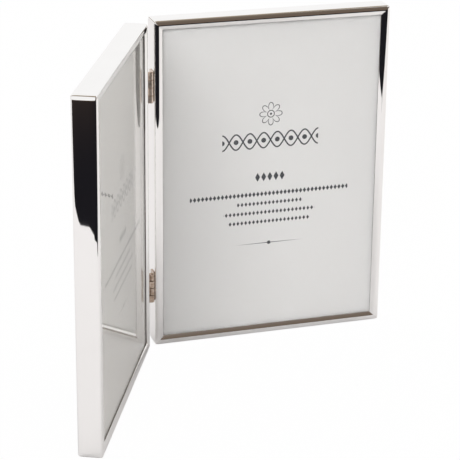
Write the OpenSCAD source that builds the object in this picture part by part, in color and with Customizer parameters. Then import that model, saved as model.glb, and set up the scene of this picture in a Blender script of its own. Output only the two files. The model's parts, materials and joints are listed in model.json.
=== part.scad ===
// Double picture frame: two glazed metal leaves on two butt hinges, standing open like a book.
// Millimetres, +Z up. The origin is at the middle of the foot print, on the surface that the frame stands on.
// The open side of the V looks along -Y, the hinge pins stand at X = 0, and the right leaf reaches to +X.
// Inside a leaf, X runs across from the hinge side, Y runs back from the front, and Z runs up.

/* [Leaves] */
// Width of one leaf over its side rails
leaf_w = 135; // [90:1:220]
// Height of one leaf over its top and bottom rails
leaf_h = 188; // [130:1:320]
// Depth of one leaf from the crest of its front to its back
leaf_d = 13; // [12:0.5:18]
// Angle between the two fronts as the frame stands
opening = 115; // [60:1:170]
// Radius of a leaf's four corners, as seen from the front
corner_r = 1.5; // [1:0.1:2]

/* [Rail profile] */
// Thickness of the metal sheet that the rails are rolled from
sheet_t = 0.8; // [0.5:0.05:1]
// Width of the border as seen from the front
border_w = 5.2; // [4.2:0.1:7]
// Width of the lip that falls from the border's crest to the glass
lip_w = 2.2; // [1.9:0.05:2.6]
// Radius of the rounded face between the crest and the outer edge
crown_r = 5.5; // [5:0.5:20]
// Radius of the front outer edge
edge_r = 1; // [0.8:0.1:1.4]
// Radius of the crest itself
crest_r = 0.35; // [0.1:0.05:0.5]
// Slope of the lip
lip_angle = 29; // [25:1:32]
// Depth of the glass seat behind the crest
seat_d = 1.6; // [1.6:0.05:2.8]
// Width of the hem that the rails turn in at the back
hem_w = 2.5; // [1.8:0.1:4]
// Radius of the back outer edge
rear_r = 0.8; // [0.4:0.1:0.9]

/* [Pack] */
// Gap between the pack and the hems, on each side
pack_play = 0.2; // [0.1:0.05:0.6]
// Thickness of the glass
glass_t = 1.8; // [1:0.1:2]
// Thickness of the placeholder card
print_t = 0.35; // [0.2:0.05:0.6]
// How much smaller than the glass the card is cut, on each side
print_trim = 0.3; // [0:0.1:1]
// Thickness of the back board without its cover
board_t = 2.4; // [2:0.1:3.6]
// Thickness of the flocked paper round the back board
cover_t = 0.3; // [0.2:0.05:0.5]

/* [Hinges] */
// Height of one hinge
hinge_h = 17; // [14:0.5:28]
// Distance of each hinge's middle from the nearer end of the leaf
hinge_from_end = 36; // [25:1:50]
// Radius of the knuckles
knuckle_r = 1.45; // [1.2:0.05:1.7]
// Gap between neighbouring knuckles
knuckle_gap = 0.3; // [0.2:0.05:0.5]
// Radius of the hinge pin
pin_r = 0.65; // [0.4:0.05:0.8]
// Gap between the pin and the bore of a knuckle, all round
pin_play = 0.04; // [0.02:0.01:0.08]
// Distance of the pin from the side wall of a leaf
pin_gap = 1.9; // [1.8:0.05:2.2]
// How far the pin stands in front of the leaves' fronts
pin_stand = 0.55; // [0.5:0.05:1.5]
// Radius of the peened ends of the pin
peen_r = 1; // [0.9:0.05:1.2]
// Height of the peened ends of the pin
peen_h = 0.35; // [0.2:0.05:0.6]
// Thickness of the hinge plates
plate_t = 0.6; // [0.5:0.05:0.65]
// How far a hinge plate reaches back along the side wall
plate_d = 7; // [5:0.5:8]
// Radius of the corners at the back of a hinge plate
plate_corner_r = 1.2; // [0.5:0.1:2]
// Radius of the shank of a hinge rivet
hinge_rivet_r = 0.7; // [0.5:0.05:0.9]
// Radius of the sunk head and of the tail of a hinge rivet
hinge_rivet_head_r = 1.25; // [1.1:0.05:1.4]

/* [Turn buttons] */
// Length of a turn button
button_len = 14; // [11:0.5:20]
// Width of a turn button
button_w = 6; // [5:0.5:8]
// Thickness of a turn button
button_t = 0.8; // [0.5:0.1:1]
// How far the tip of a turn button reaches under the hem
button_under = 1; // [0.6:0.1:1]
// Gap between a turn button and what it slides on
button_play = 0.1; // [0.05:0.05:0.15]
// Gap between the tip of a turn button and the hem over it
hem_gap = 0.25; // [0.2:0.05:0.5]
// Height of the finger lug that is bent up from a turn button
lug_h = 0.7; // [0.3:0.1:0.7]
// Thickness of the finger lug
lug_t = 0.8; // [0.6:0.1:1]
// Radius of the shank of a turn button's rivet
button_rivet_r = 1; // [0.7:0.1:1.3]
// Radius of the head of a turn button's rivet
button_rivet_head_r = 1.9; // [1.6:0.1:2.4]
// Height of the head of a turn button's rivet
button_rivet_head_h = 0.5; // [0.3:0.1:0.5]
// How deep the rivet's shank sits in the back board
button_rivet_depth = 2; // [1.4:0.1:2.2]

/* [Hidden] */

// How far a cut runs past the solid that it cuts
overrun = 1;
// Gap between a rivet and its hole, all round
rivet_play = 0.03;
// Steps in each arc of the rail profile
arc_steps = 10;
// Sides of the round parts
round_sides = 48;
// Knuckles of one hinge, counted from the top: the right leaf has the first and the third
knuckle_count = 4;
// Gap between a hinge plate and the knuckles of the other leaf
notch_gap = 0.2;
// How far the front edge of a hinge plate stops behind the pin's axis
plate_short = 0.25;

// Distance of the border's crest from the leaf's outer face
crest_in = border_w - lip_w;
// Steepest slope of the crown, where it meets the round edge
crown_angle = asin((crest_in - edge_r) / (crown_r - edge_r));
// Depth of the round edge's centre
edge_d = crown_r - (crown_r - edge_r) * cos(crown_angle);
// Width and height of the glass, the filler card and the covered board
pack_w = leaf_w - 2 * (hem_w + pack_play);
pack_h = leaf_h - 2 * (hem_w + pack_play);
// Depths of the layers that lie on the glass, from the front
print_d = seat_d + glass_t;
filler_d = print_d + print_t;
// Depths of what lies under the hems, from the back: the turn buttons, then the covered board
button_d = leaf_d - sheet_t - hem_gap - button_t;
button_head_d = button_d + button_t + button_play;
cover_back_d = button_d - button_play;
board_d = cover_back_d - cover_t - board_t;
// The filler card takes up what is left
filler_t = board_d - filler_d;
// Distance of a turn button's rivet from the leaf's outer face
button_in = hem_w - button_under + button_len / 2;
// Places of the four turn buttons in a leaf, each with the turn that points its tip at its rail
BUTTON_TOP = [leaf_w / 2, leaf_h - button_in, 90];
BUTTON_BOTTOM = [leaf_w / 2, button_in, -90];
BUTTON_INNER = [button_in, leaf_h / 2, 180];
BUTTON_OUTER = [leaf_w - button_in, leaf_h / 2, 0];
BUTTONS = [BUTTON_TOP, BUTTON_BOTTOM, BUTTON_INNER, BUTTON_OUTER];
// Heights of the two hinges' lower ends
hinge_upper_z = leaf_h - hinge_from_end - hinge_h / 2;
hinge_lower_z = hinge_from_end - hinge_h / 2;
// Height of one knuckle with the gap above it
knuckle_step = (hinge_h + knuckle_gap) / knuckle_count;
knuckle_h = knuckle_step - knuckle_gap;
// Depth, behind the pin's axis, from which a plate clears the other leaf's knuckles
notch_d = sqrt(pow(knuckle_r + notch_gap, 2) - pow(pin_gap - plate_t, 2));
// Places of the two rivets on a plate, up from the hinge's lower end and back from the leaf's front
rivet_rise = hinge_h / 4;
rivet_back = plate_d / 2;
// Turn of each leaf out of the plane of the hinge pins
leaf_turn = 90 - opening / 2;
// Reach of the leaves before and behind the pins, from the round front edge and the round back edge
reach_front = (pin_gap + leaf_w - edge_r) * sin(leaf_turn) - (pin_stand + edge_d) * cos(leaf_turn) + edge_r;
reach_back = (pin_stand + leaf_d - rear_r) * cos(leaf_turn) - (pin_gap + rear_r) * sin(leaf_turn) + rear_r;
// Place of the pins, which sets the foot print evenly about the origin
pin_y = (reach_front - reach_back) / 2;

// Points of an arc about c, with angles measured from the front, towards the leaf's outer face
function arc(c, r, from, to) = [
    for (i = [0 : arc_steps]) let (a = from + (to - from) * i / arc_steps)
        [c[0] - r * sin(a), c[1] - r * cos(a)]
];

// Section of a rail: X runs in from the outer face, Y runs back from the crest
module rail_section() {
    lip_run = (seat_d - sheet_t) / tan(lip_angle);
    under_x = crest_in - (sheet_t - crest_r) * tan(lip_angle / 2);
    lip_x = crest_in + crest_r * sin(lip_angle);
    lip_d = crest_r * (1 - cos(lip_angle));
    lip_end_d = lip_d + (border_w - lip_x) * tan(lip_angle);
    under_r = crown_r - sheet_t;
    polygon(concat(
        // Outside: round back edge, round front edge, crown and crest, then down the lip
        arc([rear_r, leaf_d - rear_r], rear_r, 180, 90),
        arc([edge_r, edge_d], edge_r, 90, crown_angle),
        arc([crest_in, crown_r], crown_r, crown_angle, 0),
        arc([crest_in, crest_r], crest_r, 0, -lip_angle),
        [[border_w, lip_end_d], [border_w, seat_d]],
        // Inside: seat, underside of the lip and of the crown, side wall and hem
        [[under_x + lip_run, seat_d]],
        arc([crest_in, crown_r], under_r,
            asin((crest_in - under_x) / under_r), asin((crest_in - sheet_t) / under_r)),
        [[sheet_t, leaf_d - sheet_t], [hem_w, leaf_d - sheet_t], [hem_w, leaf_d]]
    ));
}

// Outline of a rail as seen from the front: mitred ends, rounded at the leaf's corners
module rail_front(len) {
    mitre_w = border_w + overrun;
    intersection() {
        polygon([
            [-overrun, -overrun], [mitre_w, mitre_w],
            [mitre_w, len - mitre_w], [-overrun, len + overrun]
        ]);
        union() {
            translate([0, corner_r]) square([mitre_w, len - 2 * corner_r]);
            translate([corner_r, 0]) square([mitre_w - corner_r, len]);
            for (z = [corner_r, len - corner_r])
                translate([corner_r, z]) circle(r = corner_r, $fn = round_sides);
        }
    }
}

// A rail along Z
module rail(len) {
    color("silver") intersection() {
        linear_extrude(height = len) rail_section();
        translate([0, leaf_d + overrun, 0]) rotate([90, 0, 0])
            linear_extrude(height = leaf_d + 2 * overrun) rail_front(len);
    }
}

module rail_bottom() {
    translate([leaf_w, 0, 0]) rotate([0, -90, 0]) rail(leaf_w);
}

module rail_top() {
    translate([0, 0, leaf_h]) rotate([0, 90, 0]) rail(leaf_w);
}

module rail_outer() {
    translate([leaf_w, 0, 0]) mirror([1, 0, 0]) rail(leaf_h);
}

// The rail on the hinge side, bored for the hinge rivets
module rail_inner() {
    color("silver") difference() {
        rail(leaf_h);
        at_hinge_rivets() rivet_bore();
    }
}

// Puts its children at the rivets of both hinges, looking along +X from the face of the side wall
module at_hinge_rivets() {
    for (z = [hinge_lower_z, hinge_upper_z], rise = [rivet_rise, hinge_h - rivet_rise])
        translate([0, rivet_back, z + rise]) rotate([0, 90, 0]) children();
}

module rivet_bore() {
    translate([0, 0, -plate_t - overrun])
        cylinder(h = plate_t + sheet_t + 2 * overrun, r = hinge_rivet_r + rivet_play, $fn = round_sides);
}

// Hinge rivets: a head sunk flush in the plate, and a tail formed inside the side wall
module hinge_rivets() {
    sink_h = hinge_rivet_head_r - hinge_rivet_r;
    color("gainsboro") at_hinge_rivets() {
        translate([0, 0, -plate_t])
            cylinder(h = sink_h, r1 = hinge_rivet_head_r, r2 = hinge_rivet_r, $fn = round_sides);
        translate([0, 0, -plate_t])
            cylinder(h = plate_t + sheet_t, r = hinge_rivet_r, $fn = round_sides);
        translate([0, 0, sheet_t])
            cylinder(h = sink_h, r1 = hinge_rivet_head_r, r2 = hinge_rivet_r, $fn = round_sides);
    }
}

// A layer of the pack, from depth d, smaller than the glass by trim on each side
module layer(d, t, trim) {
    edge = hem_w + pack_play + trim;
    translate([edge, d, edge]) cube([pack_w - 2 * trim, t, pack_h - 2 * trim]);
}

module glass() {
    color("lightcyan", 0.4) layer(seat_d, glass_t, 0);
}

module print_card() {
    color("gainsboro") layer(print_d, print_t, print_trim);
}

module filler_card() {
    color("tan") layer(filler_d, filler_t, 0);
}

// Puts its children at the rivet of a turn button, on the covered board, with Z pointing out of the back
module at_button(place) {
    translate([place[0], cover_back_d, place[1]]) rotate([-90, 0, 0]) children();
}

module button_rivet_holes() {
    for (place = BUTTONS)
        at_button(place) translate([0, 0, -button_rivet_depth - rivet_play])
            cylinder(h = button_rivet_depth + overrun, r = button_rivet_r + rivet_play, $fn = round_sides);
}

module back_board() {
    color("sienna") difference() {
        layer(board_d, board_t, cover_t);
        button_rivet_holes();
    }
}

// Flocked paper over the back and the edges of the board
module back_cover() {
    color("dimgray") difference() {
        layer(board_d, board_t + cover_t, 0);
        translate([0, -overrun, 0]) layer(board_d, board_t + overrun, cover_t);
        button_rivet_holes();
    }
}

module button_rivets() {
    head_z = button_head_d - cover_back_d;
    color("gainsboro") for (place = BUTTONS) at_button(place) {
        translate([0, 0, -button_rivet_depth])
            cylinder(h = button_rivet_depth + head_z, r = button_rivet_r, $fn = round_sides);
        translate([0, 0, head_z])
            cylinder(h = button_rivet_head_h, r = button_rivet_head_r, $fn = round_sides);
    }
}

// A turn button, with its tip under the hem and a finger lug bent up at its other end
module turn_button(place) {
    end_r = button_w / 2;
    end_x = button_len / 2 - end_r;
    color("silver") at_button(place) rotate([0, 0, -place[2]]) translate([0, 0, button_play])
        difference() {
            union() {
                translate([-end_x, -end_r, 0]) cube([2 * end_x, button_w, button_t]);
                for (x = [-end_x, end_x])
                    translate([x, 0, 0]) cylinder(h = button_t, r = end_r, $fn = round_sides);
                translate([-button_len / 2 + lug_t, -end_r / 2, 0])
                    cube([lug_t, end_r, button_t + lug_h]);
            }
            translate([0, 0, -overrun])
                cylinder(h = button_t + 2 * overrun, r = button_rivet_r + 2 * rivet_play, $fn = round_sides);
        }
}

// One leaf's half of a hinge: knuckles first, first + 2 and so on from the top, and their plate
module hinge_plate(z, first) {
    wall_x = -pin_gap;
    plate_front = -pin_stand + plate_short;
    color("rosybrown") translate([0, 0, z]) difference() {
        union() {
            // Plate on the side wall, rounded at its back corners
            translate([-plate_t, plate_front, 0])
                cube([plate_t, plate_d - plate_front - plate_corner_r, hinge_h]);
            translate([-plate_t, plate_front, plate_corner_r])
                cube([plate_t, plate_d - plate_front, hinge_h - 2 * plate_corner_r]);
            for (rise = [plate_corner_r, hinge_h - plate_corner_r])
                translate([-plate_t, plate_d - plate_corner_r, rise]) rotate([0, 90, 0])
                    cylinder(h = plate_t, r = plate_corner_r, $fn = round_sides);
            for (k = [first : 2 : knuckle_count - 1])
                translate([wall_x, -pin_stand, knuckle_z(k)])
                    cylinder(h = knuckle_h, r = knuckle_r, $fn = round_sides);
        }
        // Bore for the pin
        translate([wall_x, -pin_stand, -overrun])
            cylinder(h = hinge_h + 2 * overrun, r = pin_r + pin_play, $fn = round_sides);
        // Notches that clear the other leaf's knuckles
        for (k = [1 - first : 2 : knuckle_count - 1])
            translate([-plate_t - overrun, -pin_stand - overrun, knuckle_z(k) - knuckle_gap])
                cube([plate_t + 2 * overrun, notch_d + overrun, knuckle_h + 2 * knuckle_gap]);
        // Seats for the sunk rivets
        for (rise = [rivet_rise, hinge_h - rivet_rise])
            translate([0, rivet_back, rise]) rotate([0, 90, 0]) {
                rivet_bore();
                translate([0, 0, -plate_t - rivet_play])
                    cylinder(h = hinge_rivet_head_r - hinge_rivet_r + rivet_play,
                        r1 = hinge_rivet_head_r + 2 * rivet_play, r2 = hinge_rivet_r + rivet_play,
                        $fn = round_sides);
            }
    }
}

// Height of the lower end of knuckle k above the hinge's lower end
function knuckle_z(k) = (knuckle_count - 1 - k) * knuckle_step;

// A hinge pin with peened ends, in the frame of the right leaf
module hinge_pin(z) {
    color("silver") translate([-pin_gap, -pin_stand, z]) {
        translate([0, 0, -pin_play])
            cylinder(h = hinge_h + 2 * pin_play, r = pin_r, $fn = round_sides);
        for (end_z = [-pin_play - peen_h, hinge_h + pin_play])
            translate([0, 0, end_z]) cylinder(h = peen_h, r = peen_r, $fn = round_sides);
    }
}

// Puts its children, drawn in a leaf's own frame, in the right leaf
module right() {
    translate([0, pin_y, 0]) rotate([0, 0, -leaf_turn]) translate([pin_gap, pin_stand, 0]) children();
}

// Puts its children in the left leaf, which mirrors the right one
module left() {
    mirror([1, 0, 0]) right() children();
}

right() rail_top();  // rail_top_right
right() rail_bottom();  // rail_bottom_right
right() rail_inner();  // rail_inner_right
right() rail_outer();  // rail_outer_right
right() glass();  // glass_right
right() print_card();  // print_card_right
right() filler_card();  // filler_card_right
right() back_board();  // back_board_right
right() back_cover();  // back_cover_right
right() turn_button(BUTTON_TOP);  // button_top_right
right() turn_button(BUTTON_BOTTOM);  // button_bottom_right
right() turn_button(BUTTON_INNER);  // button_inner_right
right() turn_button(BUTTON_OUTER);  // button_outer_right
right() button_rivets();  // button_rivets_right
right() hinge_rivets();  // hinge_rivets_right
right() hinge_plate(hinge_upper_z, 0);  // hinge_upper_plate_right
right() hinge_plate(hinge_lower_z, 0);  // hinge_lower_plate_right
right() hinge_pin(hinge_upper_z);  // hinge_upper_pin
right() hinge_pin(hinge_lower_z);  // hinge_lower_pin
left() rail_top();  // rail_top_left
left() rail_bottom();  // rail_bottom_left
left() rail_inner();  // rail_inner_left
left() rail_outer();  // rail_outer_left
left() glass();  // glass_left
left() print_card();  // print_card_left
left() filler_card();  // filler_card_left
left() back_board();  // back_board_left
left() back_cover();  // back_cover_left
left() turn_button(BUTTON_TOP);  // button_top_left
left() turn_button(BUTTON_BOTTOM);  // button_bottom_left
left() turn_button(BUTTON_INNER);  // button_inner_left
left() turn_button(BUTTON_OUTER);  // button_outer_left
left() button_rivets();  // button_rivets_left
left() hinge_rivets();  // hinge_rivets_left
left() hinge_plate(hinge_upper_z, 1);  // hinge_upper_plate_left
left() hinge_plate(hinge_lower_z, 1);  // hinge_lower_plate_left
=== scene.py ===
# %% [markdown]
# # A double picture frame of polished metal
#
# Two glazed leaves hang on two small hinges and stand open like a book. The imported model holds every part
# at its real size. This lesson dresses it: each part keeps its place and gets the shape and the finish
# that the eye sees. Lengths are metres, Z is up, and the open side of the frame looks along -Y.

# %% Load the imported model
import json
import math

import bmesh
import bpy
from mathutils import Matrix, Vector


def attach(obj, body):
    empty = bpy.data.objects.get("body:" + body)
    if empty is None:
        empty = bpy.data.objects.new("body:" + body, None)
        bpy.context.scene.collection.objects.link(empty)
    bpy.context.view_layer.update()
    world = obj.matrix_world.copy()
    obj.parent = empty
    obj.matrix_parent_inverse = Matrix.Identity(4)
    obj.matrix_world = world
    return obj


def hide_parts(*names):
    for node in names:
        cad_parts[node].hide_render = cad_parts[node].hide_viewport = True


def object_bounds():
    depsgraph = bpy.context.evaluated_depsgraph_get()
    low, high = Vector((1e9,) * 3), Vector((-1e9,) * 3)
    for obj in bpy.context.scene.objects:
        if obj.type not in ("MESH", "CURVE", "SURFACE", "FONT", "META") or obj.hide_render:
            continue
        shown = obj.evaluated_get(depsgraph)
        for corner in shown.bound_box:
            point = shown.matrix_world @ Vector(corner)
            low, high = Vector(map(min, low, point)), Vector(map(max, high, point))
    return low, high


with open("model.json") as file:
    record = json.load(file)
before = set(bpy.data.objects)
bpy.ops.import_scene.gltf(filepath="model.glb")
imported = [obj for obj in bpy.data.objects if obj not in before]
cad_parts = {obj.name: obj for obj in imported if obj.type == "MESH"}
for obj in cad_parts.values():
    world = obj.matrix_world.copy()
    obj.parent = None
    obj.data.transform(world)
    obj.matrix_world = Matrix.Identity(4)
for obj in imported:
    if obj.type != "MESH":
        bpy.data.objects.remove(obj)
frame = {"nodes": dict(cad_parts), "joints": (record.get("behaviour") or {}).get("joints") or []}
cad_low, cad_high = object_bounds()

MM = 0.001
print("Nodes:", len(frame["nodes"]), "box in mm:", [round(x / MM, 2) for x in cad_high - cad_low])

# %% [markdown]
# ## The camera
#
# A photograph fixes its own camera: the corners of the two leaves can only fall where they do from one
# place. The values below are the place, the direction and the lens that put the corners of the model on
# the corners in the picture. The image is square, and the lens needs no shift.

# %% Camera
IMAGE_PX = 460
FOCAL_PX = 1868.8
SENSOR_MM = 36
CAMERA_PLACE = Vector((-708.3, -619.9, 438.4)) * MM
CAMERA_AZIMUTH = math.radians(-49.99)
CAMERA_DIP = math.radians(20.93)
CAMERA_ROLL = math.radians(0.585)


def camera_axes(azimuth, dip, roll):
    """Right, up and forward of a camera that looks along +Y at azimuth 0 and dips below the horizon."""
    forward = Vector((-math.sin(azimuth) * math.cos(dip), math.cos(azimuth) * math.cos(dip), -math.sin(dip)))
    right = forward.cross(Vector((0, 0, 1))).normalized()
    up = right.cross(forward)
    turned_right = math.cos(roll) * right + math.sin(roll) * up
    turned_up = math.cos(roll) * up - math.sin(roll) * right
    return turned_right, turned_up, forward


def placed(name, data):
    """A new object in the scene."""
    made = bpy.data.objects.new(name, data)
    bpy.context.scene.collection.objects.link(made)
    return made


right, up, forward = camera_axes(CAMERA_AZIMUTH, CAMERA_DIP, CAMERA_ROLL)
camera = placed("camera", bpy.data.cameras.new("camera"))
camera.data.sensor_width = SENSOR_MM
camera.data.lens = FOCAL_PX / IMAGE_PX * SENSOR_MM
camera.matrix_world = Matrix.Translation(CAMERA_PLACE) @ Matrix((right, up, -forward)).transposed().to_4x4()
bpy.context.scene.camera = camera
print("Lens:", round(camera.data.lens, 1), "mm")

# %% [markdown]
# ## Nodes written as sums
#
# Shader and geometry trees are easier to read as Python than as a page of links. `Nodes.add` makes any
# node: its settings come first, then the values or links of its sockets. `Value` wraps a socket, so that a
# sum such as `1 - mask` adds its own Math node. The reflected forms let a plain number stand on the left.

# %% Sums of sockets
class Value:
    """A socket that takes part in sums."""

    def __init__(self, nodes, socket):
        self.nodes = nodes
        self.socket = socket

    def maths(self, operation, *values):
        return self.nodes.add("ShaderNodeMath", {"operation": operation}, dict(enumerate(values)))

    def __add__(self, other):
        return self.maths("ADD", self, other)

    def __sub__(self, other):
        return self.maths("SUBTRACT", self, other)

    def __rsub__(self, other):
        return self.maths("SUBTRACT", other, self)

    def __mul__(self, other):
        return self.maths("MULTIPLY", self, other)

    def __truediv__(self, other):
        return self.maths("DIVIDE", self, other)

    def __pow__(self, other):
        return self.maths("POWER", self, other)

    def __mod__(self, other):
        return self.maths("FLOORED_MODULO", self, other)

    def __lt__(self, other):
        return self.maths("LESS_THAN", self, other)

    def __gt__(self, other):
        return self.maths("GREATER_THAN", self, other)

    def __abs__(self):
        return self.maths("ABSOLUTE", self)

    def larger(self, other):
        return self.maths("MAXIMUM", self, other)

    __radd__ = __add__
    __rmul__ = __mul__


print("Sums of sockets ready")

# %% Node helpers
class Nodes:
    """Adds nodes to a tree."""

    def __init__(self, tree):
        self.tree = tree

    def add(self, kind, settings=None, sockets=None, output=0):
        """A new node. A list links several values to one socket. The answer is one of its outputs."""
        node = self.tree.nodes.new(kind)
        for name, setting in (settings or {}).items():
            setattr(node, name, setting)
        for name, given in (sockets or {}).items():
            for one in given if isinstance(given, list) else [given]:
                if isinstance(one, Value):
                    self.tree.links.new(one.socket, node.inputs[name])
                else:
                    node.inputs[name].default_value = one
        return Value(self, node.outputs[output]) if node.outputs else None

    def split(self, vector):
        """The X, Y and Z of a vector."""
        parts = self.add("ShaderNodeSeparateXYZ", sockets={0: vector}).socket.node
        return [Value(self, socket) for socket in parts.outputs]

    def noise(self, vector, scale, detail):
        return self.add("ShaderNodeTexNoise", sockets={"Vector": vector, "Scale": scale, "Detail": detail})

    def streaks(self, vector, scales, detail):
        """Noise that has its own scale on each axis."""
        stretched = self.add("ShaderNodeVectorMath", {"operation": "MULTIPLY"}, {0: vector, 1: scales})
        return self.noise(stretched, 1.0, detail)

    def mix(self, share, first, second):
        """A colour between two others."""
        return self.add("ShaderNodeMix", {"data_type": "RGBA"}, {0: share, 6: first, 7: second}, output=2)

    def rise(self, value, start, stop):
        """Zero up to one value, one from another value on, and even between them."""
        return self.add("ShaderNodeMapRange", sockets={"Value": value, "From Min": start, "From Max": stop})

    def bump(self, height):
        """A normal that follows a height in metres."""
        return self.add("ShaderNodeBump", sockets={"Height": height, "Distance": 1.0, "Strength": 1.0})

    def object_place(self):
        """The place of each point in metres, since no finished piece is moved or scaled."""
        return self.add("ShaderNodeTexCoord", output=3)

    def uv(self, name):
        return self.add("ShaderNodeUVMap", {"uv_map": name})

    def light_path(self, *names):
        """What is known of the ray that arrives, by the names of the outputs."""
        path = self.add("ShaderNodeLightPath").socket.node
        return [Value(self, path.outputs[name]) for name in names]

    def glow(self, colour):
        return self.add("ShaderNodeEmission", sockets={"Color": colour, "Strength": 1.0})

    def principled(self, looks):
        return self.add("ShaderNodeBsdfPrincipled", sockets=looks)

    def blend(self, share, first, second):
        """A surface between two others."""
        return self.add("ShaderNodeMixShader", sockets={0: share, 1: first, 2: second})


def rgb(red, green, blue):
    return (red, green, blue, 1.0)


def material(build):
    """Turns a function that answers with a surface into a material of the same name."""
    made = bpy.data.materials.new(build.__name__)
    made.use_nodes = True
    made.node_tree.nodes.clear()
    nodes = Nodes(made.node_tree)
    nodes.add("ShaderNodeOutputMaterial", sockets={"Surface": build(nodes)})
    return made


print("Node helpers ready")

# %% [markdown]
# ## The studio
#
# Polished metal has no colour of its own: it shows the room. The photograph was taken on a white table
# whose front edge lies some 37 cm before the frame. Past that edge the rails show a dark floor, and above
# the horizon in front they show a brown wall, high on the left and low on the right, under a tan ceiling.
# Behind and beside the frame everything is white.
#
# So the studio is a white table with a true front edge, a white world, and four darker panels that only
# reflections see. The white that the camera sees comes from Light Path, and not from more light, so the
# metal and the card are lit at a plain level. Reflections see the table a little darker, with the frame's
# own shadow on it.

# %% Studio finishes
WHITE = rgb(1.0, 1.0, 1.0)
TABLE_GLOW = 0.985
TABLE_GLOW_IN_MIRROR = 0.04
DARK_FLOOR_LEFT = -1.15
BROWN_FLOOR_START = -0.5
ROOM_FRONT = -2.2
ROOM_TOP = 2.6
CEILING_BACK = 0.9


def seen_directly(nodes, in_mirror):
    """One for a camera ray, also through glass; a share once a mirror turned it; zero once scattered."""
    camera_ray, clear_ray, bounces_off_mirror, times_scattered = nodes.light_path(
        "Is Camera Ray", "Is Transmission Ray", "Glossy Depth", "Diffuse Depth")
    mirrored = nodes.rise(bounces_off_mirror, 0, 1)
    scattered = nodes.rise(times_scattered, 0, 1)
    unmirrored = camera_ray.larger(clear_ray) * (1 - mirrored)
    return (unmirrored + mirrored * in_mirror) * (1 - scattered)


@material
def white_table(nodes):
    """White card that is bright by itself, and keeps a share of its shading for the frame's shadow."""
    lit = nodes.add("ShaderNodeBsdfDiffuse", sockets={"Color": rgb(0.825, 0.82, 0.837)})
    return nodes.blend(seen_directly(nodes, TABLE_GLOW_IN_MIRROR) * TABLE_GLOW, lit, nodes.glow(WHITE))


@material
def dark_floor(nodes):
    """Nearly black, and browner far to the left."""
    x, _, _ = nodes.split(nodes.object_place())
    left = nodes.rise(x, BROWN_FLOOR_START, DARK_FLOOR_LEFT)
    return nodes.glow(nodes.mix(left ** 2, rgb(0.0115, 0.0108, 0.0135), rgb(0.17, 0.115, 0.075)))


@material
def brown_wall(nodes):
    """Brown, and paler towards its top."""
    _, _, z = nodes.split(nodes.object_place())
    height = nodes.rise(z, 0.0, ROOM_TOP)
    return nodes.glow(nodes.mix(height ** 3, rgb(0.145, 0.11, 0.085), rgb(0.36, 0.32, 0.28)))


@material
def pale_ceiling(nodes):
    """Tan, and paler towards the back of the room."""
    _, y, _ = nodes.split(nodes.object_place())
    back = nodes.rise(y, ROOM_FRONT, CEILING_BACK)
    return nodes.glow(nodes.mix(back, rgb(0.25, 0.195, 0.14), rgb(0.5, 0.43, 0.33)))


print("Studio finishes: table, floor, wall and ceiling")

# %% Table and panels
TABLE_EDGE = 374 * MM
TOWARDS_EDGE = Vector((-0.6, -0.8, 0))
ALONG_EDGE = Vector((0.8, -0.6, 0))
STUDIO_REACH = 3.0
FLOOR_LEVEL = -0.1 * MM
DARK_FLOOR_LEVEL = -3 * MM
ROOM_LEFT = -1.25
ROOM_STEP = -0.1
ROOM_RIGHT = 2.4
ROOM_LOW_TOP = 0.95


def flat_panel(name, corners, finish, only_reflected=True):
    """A flat part of the studio. A panel that is only reflected throws no light and no shadow."""
    mesh = bpy.data.meshes.new(name)
    mesh.from_pydata(corners, [], [range(len(corners))])
    mesh.materials.append(finish)
    made = placed(name, mesh)
    if only_reflected:
        made.visible_camera = False
        made.visible_diffuse = False
        made.visible_transmission = False
        made.visible_shadow = False


def four_corners(left, right, low, high):
    """The corners of an upright or level rectangle, in order."""
    return (left, low), (right, low), (right, high), (left, high)


edge_middle = TOWARDS_EDGE * TABLE_EDGE
edge_left = edge_middle - ALONG_EDGE * STUDIO_REACH
edge_right = edge_middle + ALONG_EDGE * STUDIO_REACH
behind = -TOWARDS_EDGE * STUDIO_REACH
lift = Vector((0, 0, FLOOR_LEVEL))
table = (edge_left, edge_right, edge_right + behind, edge_left + behind)
flat_panel("table", [corner + lift for corner in table], white_table, only_reflected=False)

drop = Vector((0, 0, DARK_FLOOR_LEVEL))
dark_left = edge_middle + ALONG_EDGE * (DARK_FLOOR_LEFT - edge_middle.x) / ALONG_EDGE.x
far_left = Vector((DARK_FLOOR_LEFT, -STUDIO_REACH, 0))
far_right = Vector((STUDIO_REACH, -STUDIO_REACH, 0))
floor = (dark_left, far_left, far_right, edge_right)
flat_panel("dark_floor", [corner + drop for corner in floor], dark_floor)

for name, start, end, top in (
    ("high_wall", ROOM_LEFT, ROOM_STEP, ROOM_TOP), ("low_wall", ROOM_STEP, ROOM_RIGHT, ROOM_LOW_TOP),
):
    upright = four_corners(start, end, DARK_FLOOR_LEVEL, top)
    flat_panel(name, [(x, ROOM_FRONT, z) for x, z in upright], brown_wall)
level = four_corners(ROOM_LEFT, ROOM_RIGHT, ROOM_FRONT, CEILING_BACK)
flat_panel("ceiling", [(x, y, ROOM_TOP) for x, y in level], pale_ceiling)
print("Studio: table, dark floor, two walls and a ceiling")

# %% World
WARM_WHITE = rgb(1.0, 0.98, 0.95)
SOFT_LIGHT = 0.97
SHADE_START = -0.1
SHADE_FULL = 0.6
FRONT_SHADE = 0.6

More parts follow.
